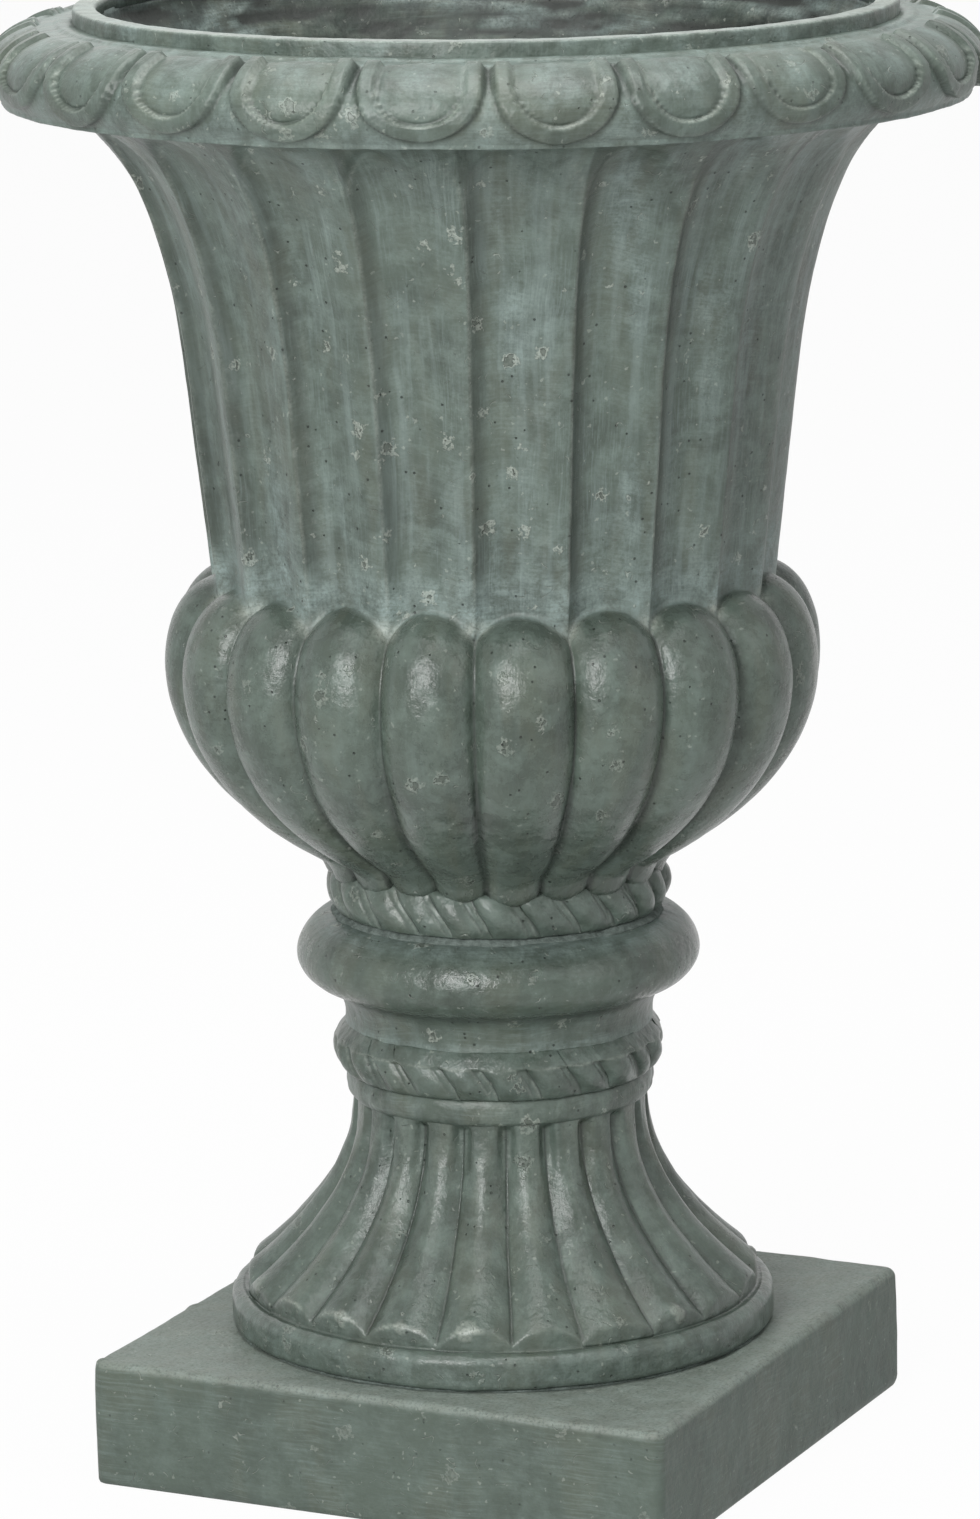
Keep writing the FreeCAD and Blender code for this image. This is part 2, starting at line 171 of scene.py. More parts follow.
def ringPiece(name, grid, traits):  # closed mesh from rings (columns, rows, 3), in millimetres
    columns, rows = grid.shape[:2]
    spread = np.hypot(grid[..., 0], grid[..., 1])
    grid = grid * np.stack([np.minimum(1, widest / np.maximum(spread, 1))] * 2 + [np.ones(spread.shape)], -1)
    grid[..., 2] = np.clip(grid[..., 2], 0, tallest)
    mesh = bpy.data.meshes.new(name)
    mesh.vertices.add(columns * rows)
    mesh.vertices.foreach_set("co", (grid * mm).astype(np.float32).ravel())
    i, j = np.meshgrid(np.arange(columns), np.arange(rows), indexing="ij")
    following, above = (i + 1) % columns, (j + 1) % rows
    quads = np.stack([i * rows + j, following * rows + j, following * rows + above, i * rows + above], -1)
    mesh.loops.add(quads.size)
    mesh.loops.foreach_set("vertex_index", quads.ravel().astype(np.int32))
    mesh.polygons.add(quads.size // 4)
    mesh.polygons.foreach_set("loop_start", np.arange(0, quads.size, 4, dtype=np.int32))
    mesh.polygons.foreach_set("use_smooth", np.ones(quads.size // 4, bool))
    mesh.update(calc_edges=True)
    runs = np.linalg.norm(np.diff(join([grid, grid[:, :1]], 1), axis=1), axis=-1).mean(0)
    length = join([[0], np.cumsum(runs)])
    u = np.stack([i, i + 1, i + 1, i], -1) / columns
    v = length[np.stack([j, j, j + 1, j + 1], -1)] / length[-1]
    layer = mesh.uv_layers.new(name="OFBake")
    layer.data.foreach_set("uv", np.stack([u, v], -1).astype(np.float32).ravel())
    theta = np.arctan2(grid[..., 1], grid[..., 0])
    middle = spread.max() * mm
    along = np.broadcast_to(length[:-1] * mm, theta.shape)
    dress(mesh, traits, np.stack([np.cos(theta) * middle, np.sin(theta) * middle, along], -1))
    return newObject(name, mesh)


def circleLoop(x, y, radius, count):
    swing = np.linspace(0, 2 * np.pi, count, endpoint=False)
    return np.stack([x + radius * np.cos(swing), y + radius * np.sin(swing)], -1)


def platePiece(name, loops, spacing, low, high, roughness, seed):  # flat plate, first loop outside, the others holes
    spots = join(loops)
    edges, start = [], 0
    for loop in loops:
        edges += [(start + k, start + (k + 1) % len(loop)) for k in range(len(loop))]
        start += len(loop)
    reach = np.abs(spots).max(0)
    ticks = [np.arange(-size + spacing / 2, size, spacing) for size in reach]
    inner = np.array([(x + spacing / 3 * (row % 2), y) for row, y in enumerate(ticks[1]) for x in ticks[0]])
    keep = np.linalg.norm(inner[:, None] - spots[None], axis=-1).min(1) > spacing * 0.5
    flat = [Vector(spot) for spot in join([spots, inner[keep]])]
    points, _, faces, _, _, _ = delaunay_2d_cdt(flat, edges, [], 0, 0.0001)
    base = np.array([tuple(point) for point in points])

    def isInside(middle):
        crossings = np.zeros(len(middle), int)
        for loop in loops:
            a, b = loop, np.roll(loop, -1, 0)
            span = (a[:, 1] > middle[:, None, 1]) != (b[:, 1] > middle[:, None, 1])
            rise = np.where(b[:, 1] == a[:, 1], 1e-9, b[:, 1] - a[:, 1])
            cut = a[:, 0] + (middle[:, None, 1] - a[:, 1]) * (b[:, 0] - a[:, 0]) / rise
            crossings += (span & (middle[:, None, 0] < cut)).sum(1)
        return crossings % 2 == 1

    corners = np.array([face for face in faces if len(face) == 3])
    corners = corners[isInside(base[corners].mean(1))]
    turn = np.cross(base[corners[:, 1]] - base[corners[:, 0]], base[corners[:, 2]] - base[corners[:, 0]])
    corners[turn < 0] = corners[turn < 0][:, ::-1]
    count = len(base)
    lump = roughness * noise(np.column_stack([base, np.zeros(count)]), 12, seed)
    top = np.column_stack([base, high + np.minimum(lump, 0)])
    under = np.column_stack([base, np.full(count, low)])
    sides = {tuple(pair) for face in corners for pair in zip(face, np.roll(face, -1))}
    rims = [(a, b) for a, b in sides if (b, a) not in sides]
    walls = [(a + count, b + count, b, a) for a, b in rims]
    mesh = bpy.data.meshes.new(name)
    faces = [*corners] + [face[::-1] + count for face in corners] + walls
    spread = join([top, under]) * mm
    mesh.from_pydata(spread.tolist(), [], [tuple(int(k) for k in face) for face in faces])
    dress(mesh, {}, spread)
    return newObject(name, mesh)


def settle(piece, body, node, slot, material):  # joins a piece to its body and finish, and hides the imported node; slot is not used
    piece.data.materials.append(material)
    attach(piece, body)
    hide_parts(node)


def knocks(grid, centres, width, depth):  # shallow chips of about that width at the given spots, and where they are
    fall = np.zeros(grid.shape[:2])
    for number, centre in enumerate(centres):
        size = width * (0.7 + 0.6 * ((number * 37) % 10) / 10)
        gap = np.linalg.norm(grid - np.array(centre), axis=-1) / size
        ragged = gap + 0.35 * softNoise(grid, 3, 90 + number)
        fall = np.maximum(fall, np.clip(1 - ragged**2, 0, 1))
    return swell(grid, -depth * fall**0.6), ease(fall, 0.1, 0.4)


# Finishes

def rgb(red, green, blue):  # 0 to 255 as seen on a screen
    parts = [part / 255 for part in (red, green, blue)]
    linear = [part / 12.92 if part <= 0.04045 else ((part + 0.055) / 1.055) ** 2.4 for part in parts]
    return (*linear, 1)


def feed(tree, socket, value):
    if isinstance(value, Signal):
        tree.links.new(value.socket, socket)
    else:
        socket.default_value = value


def put(tree, kind, output, sockets, **settings):  # one output of a new node
    node = tree.nodes.new("ShaderNode" + kind)
    for key, value in settings.items():
        setattr(node, key, value)
    for key, value in sockets.items():
        feed(tree, node.inputs[key], value)
    return Signal(tree, node.outputs[output])


class Signal:  # a node's output, which sums, noises and colours can be built on
    def __init__(self, tree, socket):
        self.tree, self.socket = tree, socket

    def also(self, output):  # another output of the same node
        return Signal(self.tree, self.socket.node.outputs[output])

    def math(self, operation, other=0):
        return put(self.tree, "Math", 0, {0: self, 1: other}, operation=operation)

    def __add__(self, other):
        return self.math("ADD", other)

    def __mul__(self, other):
        return self.math("MULTIPLY", other)

    def most(self, other):
        return self.math("MAXIMUM", other)

    def fade(self, low, high, start=0, end=1):
        sockets = {"Value": self, "From Min": low, "From Max": high, "To Min": start, "To Max": end}
        return put(self.tree, "MapRange", "Result", sockets, interpolation_type="SMOOTHSTEP")

    def tint(self, first, second):  # from the first colour at 0 to the second at 1
        return put(self.tree, "Mix", 2, {0: self, 6: first, 7: second}, data_type="RGBA")

    def bump(self, depth):
        return put(self.tree, "Bump", "Normal", {"Height": self, "Strength": 1, "Distance": depth})

    def grain(self, scale, detail=3, rough=0.55):
        sockets = {"Vector": self, "Scale": scale, "Detail": detail, "Roughness": rough}
        return put(self.tree, "TexNoise", "Fac", sockets)

    def cells(self, scale):  # distance from each cell's middle, and a share of its own for each cell
        distance = put(self.tree, "TexVoronoi", "Distance", {"Vector": self, "Scale": scale})
        return distance, put(self.tree, "SeparateColor", 0, {0: distance.also("Color")})

    def vectorMath(self, operation, *others):
        return put(self.tree, "VectorMath", 0, dict(enumerate((self, *others))), operation=operation)

    def stretch(self, across, along):
        return self.vectorMath("MULTIPLY", (across, across, along))

    def warped(self, scale, amount):  # the same place pushed about by a noise
        wobble = put(self.tree, "TexNoise", "Color", {"Vector": self, "Scale": scale, "Detail": 2})
        shift = wobble.vectorMath("SUBTRACT", (0.5, 0.5, 0.5))
        return shift.vectorMath("MULTIPLY_ADD", (amount, amount, amount), self)


def trait(tree, label, output="Fac"):
    return put(tree, "Attribute", output, {}, attribute_name=label)


def newFinish(name):
    material = bpy.data.materials.new(name)
    material.use_nodes = True
    return material, put(material.node_tree, "TexCoord", "Object", {})


def wire(material, inputs):  # joins signals and plain values to the finish's shader
    tree = material.node_tree
    for label, value in inputs.items():
        feed(tree, tree.nodes["Principled BSDF"].inputs[label], value)
    return material


clayLook = {
    "deep": rgb(58, 67, 59), "body": rgb(76, 87, 78), "pale": rgb(94, 107, 98),
    "warm": rgb(88, 91, 76), "frost": rgb(138, 154, 151), "rawAndLit": rgb(178, 184, 174),
    "shadowTone": rgb(24, 29, 25), "strokesUp": 0.26, "strokesRound": 0.07, "haze": 0.22, "frostAll": 0.08,
    "wearAndSheenAmount": 0.6, "pits": 0.9, "roughness": 0.4, "relief": 0.0011, "specular": 0.4,
}


def clayFinish(name, **changes):
    look = {**clayLook, **changes}
    material, place = newFinish(name)
    sweep = trait(place.tree, "sweep", "Vector").warped(14, 0.012)
    wearAndSheen, hollow, frost, rawAndLit, burnish = [trait(place.tree, label) for label in traitNames]
    mottle = place.grain(21, 5, 0.6)
    blotch = place.warped(45, 0.012).grain(80, 5, 0.65)
    fine = place.grain(620, 4, 0.65)
    middling = place.grain(130)
    upward = sweep.stretch(1, 0.05).grain(800, 4, 0.65)
    level = sweep.stretch(0.05, 1).grain(800, 4, 0.65)
    patch = sweep.stretch(1, 0.45).grain(34)
    plain = burnish.fade(0, 1, 1, 0.25)  # rubbed places keep less of haze and strokes
    haze = sweep.stretch(1, 0.1).grain(120, 3, 0.5).fade(0.46, 0.72)
    strokeUp = upward.fade(0.44, 0.7) * patch.fade(0.4, 0.66) * look["strokesUp"]
    strokeRound = level.fade(0.44, 0.7) * patch.fade(0.62, 0.38) * look["strokesRound"]
    streak = strokeUp.most(strokeRound) * plain
    frosted = (frost + look["frostAll"]) * blotch.fade(0.3, 0.64, 0.3, 1)
    frosted = frosted * fine.fade(0.3, 0.6, 0.45, 1) * level.fade(0.3, 0.6, 0.6, 1)
    wobbled = place.warped(300, 0.005)  # scuffs have ragged outlines and gather in clusters
    gap, share = wobbled.cells(66)
    share = share + mottle.fade(0.44, 0.6, -0.14, 0.1)
    beyond = gap + share.fade(0.6, 1, 0, -0.34) + (place.grain(330, 2, 0.6) + -0.5) * 0.7
    scuff = beyond.fade(0, -0.06) * look["pits"]
    core = beyond.fade(-0.14, -0.2) * look["pits"]
    holeGap, holeShare = place.cells(230)
    hole = holeGap.fade(0.17, 0.1) * holeShare.fade(0.84, 0.87) * look["pits"]
    speckGap, speckShare = wobbled.cells(330)
    speck = speckGap.fade(0.34, 0.2) * speckShare.fade(0.93, 0.96)
    curl = (place.grain(95, 1, 0.4) + -0.5).math("ABSOLUTE")
    nick = curl.fade(0.011, 0.002) * middling.fade(0.58, 0.64)
    # paler where edges are rubbed, and where the same trait carries a painted highlight
    rubbedAndSheen = wearAndSheen * fine.fade(0.32, 0.6, 0.25, 1) * blotch.fade(0.34, 0.6, 0.15, 1)
    colour = mottle.fade(0.32, 0.66).tint(look["deep"], look["body"])
    layers = [
        (blotch.fade(0.42, 0.72, 0, 0.6), "pale"), (patch.fade(0.52, 0.34, 0, 0.25), "warm"),
        (haze * plain * look["haze"], "frost"), (streak, "frost"), (frosted, "frost"),
        (scuff * fine.fade(0.35, 0.6, 0.15, 0.5) * burnish.fade(0, 1, 1, 0.5), "rawAndLit"),
        # tiny holes and the shade trait are tinted towards the dark shadow tone: painted shade
        (core * 0.75, "deep"), (hole * 0.8, "shadowTone"), (speck * 0.24, "rawAndLit"), (nick * 0.28, "rawAndLit"),
        (hollow * blotch.fade(0.2, 0.6, 0.6, 0.95), "shadowTone"), (rubbedAndSheen * look["wearAndSheenAmount"], "rawAndLit"),
        (rawAndLit * fine.fade(0.3, 0.55, 0.2, 1), "rawAndLit"),
    ]
    for share, tone in layers:
        colour = share.tint(colour, look[tone])
    shine = blotch * 0.18 + (look["roughness"] - 0.09) + frosted.most(streak) * 0.16 + burnish * -0.13
    relief = fine * 0.16 + middling * 0.75 + upward * (0.3 * look["strokesUp"])
    relief = relief + place.grain(60, 2, 0.5) * 0.9 + level * (0.3 * look["strokesRound"])
    relief = relief + scuff * 0.25 + core * -0.8 + hole * -0.9 + nick * -0.35
    return wire(material, {
        "Base Color": colour, "Roughness": shine, "Normal": relief.bump(look["relief"]),
        "Specular IOR Level": look["specular"],
    })


mortarLook = {"light": rgb(114, 125, 120), "dark": rgb(72, 82, 77), "relief": 0.0012}


def mortarFinish(name):
    material, place = newFinish(name)
    coarse = place.grain(240, 5, 0.7)
    return wire(material, {
        "Base Color": coarse.fade(0.3, 0.7).tint(mortarLook["dark"], mortarLook["light"]),
        "Roughness": coarse.fade(0.2, 0.8, 0.95, 0.8), "Normal": coarse.bump(mortarLook["relief"]),
    })


zincLook = {
    "dull": rgb(150, 153, 152), "bright": rgb(186, 189, 187), "rust": rgb(104, 74, 52),
    "relief": 0.0003,
}


def zincFinish(name):
    material, place = newFinish(name)
    gap, share = place.cells(520)
    smear = place.grain(90, 5, 0.65)
    rust = smear.fade(0.58, 0.72, 0, 0.75)
    colour = share.tint(zincLook["dull"], zincLook["bright"])
    return wire(material, {
        "Base Color": rust.tint(colour, zincLook["rust"]), "Metallic": rust.fade(0, 0.7, 0.95, 0.1),
        "Roughness": smear.fade(0.3, 0.75, 0.34, 0.72), "Normal": (gap * 0.3 + smear).bump(zincLook["relief"]),
    })


rubberLook = {"black": rgb(33, 33, 34), "dust": rgb(92, 92, 88), "relief": 0.0003}


def rubberFinish(name):
    material, place = newFinish(name)
    dust = place.grain(160, 5, 0.65)
    fine = place.grain(1400, 2, 0.5)
    return wire(material, {
        "Base Color": dust.fade(0.45, 0.75, 0, 0.5).tint(rubberLook["black"], rubberLook["dust"]),
        "Roughness": dust.fade(0.3, 0.7, 0.55, 0.8), "Normal": (dust + fine * 0.4).bump(rubberLook["relief"]),
    })


# Bowl: gadrooned belly and fluted throat

bowl = {
    "collarFoot": 286, "collarTop": 310, "bellyHeight": 416.5, "shoulderHeight": 462.5, "rimUnder": 703.5,
    "bellyRadius": 168, "throatFootRadius": 144.5, "throatSlope": 0.108, "flareHeight": 133.5,
    "rimTopRadius": 214, "rimRadius": 250, "rimUnderRadius": 243, "rimTop": 743, "lipTop": 750.5,
    "mouthRadius": 195, "lipWidth": 12, "floorHeight": 314, "panels": 20, "panelTurn": 12.8,
    "fluteDepth": 7.2, "gadroonDepth": 11, "handWander": 0.3, "wall": 9, "drainCircle": 36, "drainRadius": 8,
    "lobeFootRadius": 54.7, "tipHeight": 305.5, "tipRadius": 87.2,
}
shoulderRise = bowl["shoulderHeight"] - bowl["bellyHeight"]
throatRise = bowl["rimUnder"] - bowl["shoulderHeight"]


def fluteSpread(height, across):  # 0 in a flute's middle, 1 on its edge, which arches over below the rim
    head = np.clip((height - (bowl["rimUnder"] - 40)) / 35, 0, 1)
    return np.abs(across) / np.maximum(1 - head**2.4, 1e-4) ** 0.45


def throatArris(height):
    flareHeight, slope, foot = bowl["flareHeight"], bowl["throatSlope"], bowl["throatFootRadius"]
    flareReach = bowl["rimUnderRadius"] - 6.5 - foot - slope * throatRise
    risen = np.clip((height - (bowl["rimUnder"] - flareHeight)) / flareHeight, 0, 1)
    arris = foot + slope * (height - bowl["shoulderHeight"])
    return arris + flareReach * (1 - (1 - risen**2) ** 0.35)


def throatRadius(height, across, depth):
    spread = fluteSpread(height, across + 0.46 * (1 - across**2))  # deepest a little left of the middle
    return throatArris(height) - depth * np.clip(1 - spread**2.3, 0, 1) + 0.3 * hump(spread, 1, 0.06)


def evenRows(count, radius, height, fold, lobed):  # evenly spaced points, closer at folds and flute heads
    closer = 1 + 1.6 * fold + 0.8 * hump(height, bowl["rimUnder"] - 14, 16)
    step = np.hypot(np.diff(radius, axis=1), np.diff(height, axis=1)) * closer[:, 1:]
    run = np.cumsum(np.pad(step, ((0, 0), (1, 0))), 1)
    goal = np.linspace(0, 1, count)

    def spaced(lines):
        return np.array([np.interp(goal * reach[-1], reach, line) for reach, line in zip(run, lines)])

    return [spaced(lines) for lines in (radius, height, fold, lobed)]


def bowlOutside(across, panel):
    rng = np.random.default_rng(41)
    side = np.abs(across)
    lobeSize, archLift = handSpread(rng, 0.5, panel), handSpread(rng, 0.9, panel)
    fluteDepth = bowl["fluteDepth"] * (1 + handSpread(rng, 0.06, panel))
    fall = side**2.6
    groove = 1.4 * ease(side, 0.92, 0.975)
    drop = 130
    lowest = 116.1 / drop  # share of the drop that stands above the collar
    drawIn = (bowl["bellyRadius"] - bowl["lobeFootRadius"]) / (1 - math.cos(math.asin(lowest)))
    sink = (1 - np.linspace(0, 1, 62, endpoint=False)) * lowest
    swing = np.arcsin(sink)
    depth = bowl["gadroonDepth"] - 4.5 * sink
    narrowed = np.clip(side / (1 - 0.13 * sink / lowest), 0, 1) ** (2.6 - 0.6 * sink)
    bellyR = bowl["bellyRadius"] + lobeSize - drawIn * (1 - np.cos(swing)) - depth * narrowed - groove
    bellyZ = bowl["bellyHeight"] - drop * np.sin(swing) + 0 * across
    above = bellyZ - bowl["tipHeight"] - archLift - 4.5 * across**2
    hook = np.where(above > 0, 0.32 * np.minimum(above, 8) - np.maximum(above - 8, 0), 2.4 * above)
    tip = bowl["tipRadius"] - 2 * across**2 + hook
    bellyR = softMax(bellyR, tip + lobeSize, 3.4)  # lobe ends lap over the rope collar
    archTop = shoulderRise + archLift * (1 - across**2) - 9 * across**2
    root = bowl["throatFootRadius"] - 14
    crest = bowl["bellyRadius"] + lobeSize - bowl["gadroonDepth"] * fall - groove
    swing = np.pi / 2 * np.linspace(0, 1, 46, endpoint=False)
    shoulderZ = bowl["bellyHeight"] + archTop * np.sin(swing)
    lobe = root + (crest - root) * np.cos(swing) ** 0.8
    throat = throatRadius(shoulderZ, across, fluteDepth)
    shoulderR = softMax(throat, lobe, 0.9 + 3 * (1 - across**2) ** 1.5)
    fold = hump(lobe - throat, 1.5, 2.2) * (0.2 + 0.8 * ease(side, 0.35, 0.8))  # edge where lobe and throat meet
    climb = np.linspace(0, 1, 90)
    rise = 0.5 * climb + 0.5 * np.sin(climb * np.pi / 2)
    throatZ = bowl["bellyHeight"] + archTop + (shoulderRise + throatRise - archTop) * rise
    throatR = softMax(throatRadius(throatZ, across, fluteDepth), root, 0.9)
    last = throatR[:, -1:]
    radius = join([bellyR, shoulderR + 0.5 * fold, throatR, last], 1)
    height = join([bellyZ, shoulderZ, throatZ, throatZ[:, -1:] + 3], 1)
    folds = join([0 * bellyR, fold, 0 * throatR, 0 * last], 1)
    lobed = join([0 * bellyR + 1, ease(lobe - throat, -2, 2.5), 0 * throatR, 0 * last], 1)
    return evenRows(198, radius, height, folds, lobed)


def makeBowlSkin():
    theta, across, panel = panelColumns(bowl["panels"], 22, bowl["panelTurn"], bowl["handWander"], 7)
    radius, height, fold, lobed = bowlOutside(across, panel)
    lean = np.radians(0.35) * softNoise(polar(theta, radius, height), 90, 11)  # creases wander as if cut by hand
    front = polar(theta + lean, radius, height)
    picks = np.linspace(radius.shape[1] - 1, 0, 26).astype(int)
    back = polar(theta, radius[:, picks] - bowl["wall"], height[:, picks])
    grid = roughen(join([front, back], 1), (0.4, 60, 21), (0.16, 16, 31))
    z, side, rows = grid[..., 2], np.abs(across), front.shape[1]
    onLobe = ease(z, 456, 446)
    onLobe[:, :rows] = lobed
    arris = hump(fluteSpread(height, across), 1, 0.03) * ease(height, 462, 470)
    low = ease(height, 390, 335)
    # painted shade in the creases between lobes, wider towards the bottom
    valley = ease(side + 0.16 * low, 0.945, 0.99 + 0.1 * low) * ease(height, 458, 448)
    corner = ease(side, 0.5, 1) * hump(height, 460, 12)
    ragged = ease(softNoise(front, 9, 37), -0.6, 0.2)
    # painted highlight: a pale glint in the corner between lobe tops, on a small ledge facing the lamp above
    notch = ease(side, 0.62, 0.92) * hump(height, 455.5, 4.5) * ragged
    # painted shade on the left wall of each flute, the side turned away from the key light
    shade = frontOnly(grid, ease(across, -0.6, -0.86) * ease(height, 468, 492))
    cloud = noise(grid * np.array([1, 1, 0.3]), 26, 33)
    bloom = ease(cloud, 0, 0.9)
    bloom[:, :rows] *= ease(np.abs(across - 0.05), 0.85, 0.2)
    frost = 0.1 + 0.18 * ease(z, 520, 475) + 0.25 * hump(z, 470, 10)
    frost = frost + 0.5 * frontOnly(grid, corner) + 0.4 * bloom
    frost = frost * (1 - onLobe) + 0.08 * onLobe * ease(cloud, 0.2, 0.8)
    # the lowest rows, where the lobe ends lap over the rope collar, also get painted shade
    return ringPiece("bowlSkin", grid, {
        "wearAndSheen": frontOnly(grid, arris * 0.3 + fold * 0.45),
        "hollow": 0.7 * frontOnly(grid, valley) + 0.4 * shade + 0.25 * ease(z, 318, 308),
        "frost": frost * (1 - shade), "rawAndLit": 0.5 * frontOnly(grid, notch), "burnish": onLobe,
    })


# Bowl: carved rim

rim = {
    "eggs": 24, "eggTurn": 2.5, "bandRelief": 3.6, "tongueRelief": 2.3, "notchDepth": 1.5, "sunk": 1.4,
    "eggTop": 0.85, "eggMiddle": 0.42, "handWander": 0.3,
}


def makeBowlRim():
    theta, across, egg = panelColumns(rim["eggs"], 38, rim["eggTurn"], rim["handWander"], 17)
    rng = np.random.default_rng(23)

    def each(middle, spread):
        return middle * (1 + handSpread(rng, spread, egg))

    widthShare, tipShare = each(0.93, 0.014), each(0.92, 0.018)
    bandRelief, tongueRelief = each(rim["bandRelief"], 0.12), each(rim["tongueRelief"], 0.2)
    along = np.linspace(0, 1, 84)
    down = 1 - along
    past = np.maximum(0, down - rim["eggMiddle"]) / (tipShare - rim["eggMiddle"])
    reach = np.hypot(across / widthShare, past)  # 1 on the outer edge of an egg's border
    reach = reach + 0.012 * softNoise(polar(theta, 250, 60 * along), 9, 29)
    band = ease(reach, 0.665, 0.715) * (1 - ease(reach, 0.955, 1))
    tongue = (0.45 + 0.55 * np.clip(1 - (reach / 0.66) ** 2, 0, 1)) * (1 - ease(reach, 0.63, 0.675))
    notch = ease(np.abs(across), 0.93, 0.985) * ease(down, 0.62, 0.3) * (1 - band)
    start, eggTop = ease(along, 0, 0.04), rim["eggTop"]
    uneven = along + 0.012 * softNoise(polar(theta, 230, 40 * along), 12, 35)
    ends = start * ease(uneven, eggTop + 0.015, eggTop - 0.015)
    relief = (bandRelief * band + tongueRelief * tongue - rim["notchDepth"] * notch) * ends
    relief = relief - rim["sunk"] * start * ease(along, 1, 0.96)
    reachOut = bowl["rimRadius"] - bowl["rimTopRadius"]
    tuck = math.acos((bowl["rimUnderRadius"] - bowl["rimTopRadius"]) / reachOut)
    rise = (bowl["rimTop"] - bowl["rimUnder"]) / (1 + math.sin(tuck))
    swing = along * (np.pi / 2 + tuck) - tuck
    radius = bowl["rimTopRadius"] + (reachOut + relief) * np.cos(swing)
    height = bowl["rimTop"] - rise + (rise + relief) * np.sin(swing)
    top, foot = bowl["rimTop"], bowl["rimUnder"]
    back = [(205, top - 0.2), (203, top - 12), (212, foot + 8), (228, foot)]
    grid = join([polar(theta, radius, height), lathe(theta, back)], 1)
    grid = roughen(grid, (0.35, 34, 51), (0.14, 7, 61))
    bloom = 0.3 * np.clip(1 - (reach / 0.5) ** 2, 0, 1) * ends + 0.3 * (1 - ends) * ease(along, 0.6, 0.8)
    edge = 0.55 * hump(reach, 0.7, 0.02) * ends + 0.15 * hump(reach, 0.95, 0.02)
    # painted shade along the notches between eggs and along both edges of each egg border
    crease = (0.8 * notch + 0.5 * hump(reach, 1.01, 0.025) + 0.35 * hump(reach, 0.655, 0.018)) * ends
    return ringPiece("bowlRim", grid, {
        "frost": frontOnly(grid, bloom + 0.3 * ease(reach, 1.03, 1.15)), "wearAndSheen": frontOnly(grid, edge),
        "hollow": frontOnly(grid, crease),
    })


# Bowl: lip, hand-pressed inside wall, floor and rope collar

lining = {
    "ridges": 1.7, "lumps": 1.1, "cracks": 8, "columns": 440, "section": [
        (195, 750.5), (195, 740), (185, 725), (172.4, 705), (164.4, 690), (156.4, 672), (150.3, 655),
        (141.1, 620), (130.2, 571), (123.2, 545), (117.1, 520), (113.9, 490), (118.7, 462), (128.8, 440),
        (137.1, 416), (135.6, 398), (128.4, 380), (107.1, 350), (77.6, 322), (66, 314),
    ],
}


def makeBowlLip():
    mouth, lip, foot = bowl["mouthRadius"], bowl["lipTop"], bowl["rimTop"] - 14
    fascia = mouth + bowl["lipWidth"]
    outside = sectionLine([(fascia, foot), (fascia, lip - 1.6)], 1.5)
    brow = arcLine((fascia - 1.6, lip - 1.6), (1.6, 1.6), 0, 90, 5)[1:]
    flat = sectionLine([(fascia - 3, lip), (mouth + 3, lip)], 1.5)
    inner = arcLine((mouth + 2.2, lip - 2.2), (2.2, 2.2), 90, 180, 6)
    back = [(mouth, lip - 7), (mouth + 4, lip - 9), (fascia - 3, foot)]
    grid = lathe(evenColumns(lining["columns"]), join([outside, brow, flat, inner, back]))
    grid = roughen(grid, (0.25, 22, 85), (0.16, 6, 86))
    onLip = ease(grid[..., 2], lip - 1, lip - 0.2)
    patches = ease(noise(grid, 16, 88), 0, 0.8)
    return ringPiece("bowlLip", grid, {"wearAndSheen": 0.5 * onLip, "frost": 0.05 + 0.45 * patches + 0.2 * onLip})


def makeBowlLining():
    theta = evenColumns(lining["columns"])
    lip, floor = bowl["lipTop"], bowl["floorHeight"]
    levels = np.linspace(lip - 6, floor, 150)
    knownWidths, knownLevels = np.array(lining["section"][::-1]).T
    widths = np.interp(levels, knownLevels, knownWidths)
    padded = np.pad(widths, 4, mode="edge")
    widths[4:-4] = np.convolve(padded, np.ones(9) / 9, "valid")[4:-4]  # smooth between the known widths
    wall = np.stack([widths, levels], -1)
    line = join([wall, [(62, floor - 3)], wall[-3:8:-5] + np.array([5, -2]), [(200, 722)]])
    grid = lathe(theta, line)
    deep = frontOnly(grid, ease(levels, lip - 5, lip - 16))
    swirl = polar(theta, 40, line[:, 1])
    ridges = noise(swirl, 9, 71)
    crack = -np.clip(softNoise(swirl * np.array([1, 1, 1.3]), 30, 77), 0.55, 1) + 0.55
    lumps = noise(grid, 26, 81, 4)
    amount = lining["ridges"] * ridges + lining["lumps"] * lumps + lining["cracks"] * crack
    grid = swell(grid, deep * amount)
    traits = edgesOf(grid, 0.45)
    traits["wearAndSheen"] = 0.25 * traits["wearAndSheen"] * deep
    # painted shade in the hollows and ridge troughs of the inside wall
    traits["hollow"] = (traits["hollow"] + 0.8 * ease(ridges, 0.05, -0.5)) * deep
    traits["frost"] = 0.45 * ease(noise(swirl, 12, 88), 0.1, 0.6)
    return ringPiece("bowlLining", grid, traits)


def drainSpot(number):
    turn = 2 * math.pi / 3 * (number - 1)
    return bowl["drainCircle"] * math.cos(turn), bowl["drainCircle"] * math.sin(turn)


def makeBowlFloor():
    loops = [circleLoop(0, 0, 71, 110), circleLoop(0, 0, 7.5, 40)]
    loops += [circleLoop(*drainSpot(number), bowl["drainRadius"], 44) for number in (1, 2, 3)]
    return platePiece("bowlFloor", loops, 3.5, 288, bowl["floorHeight"], 0.6, 92)


rope = {"strands": 24, "lean": 9.5, "relief": 4.4, "handWander": 0.9}


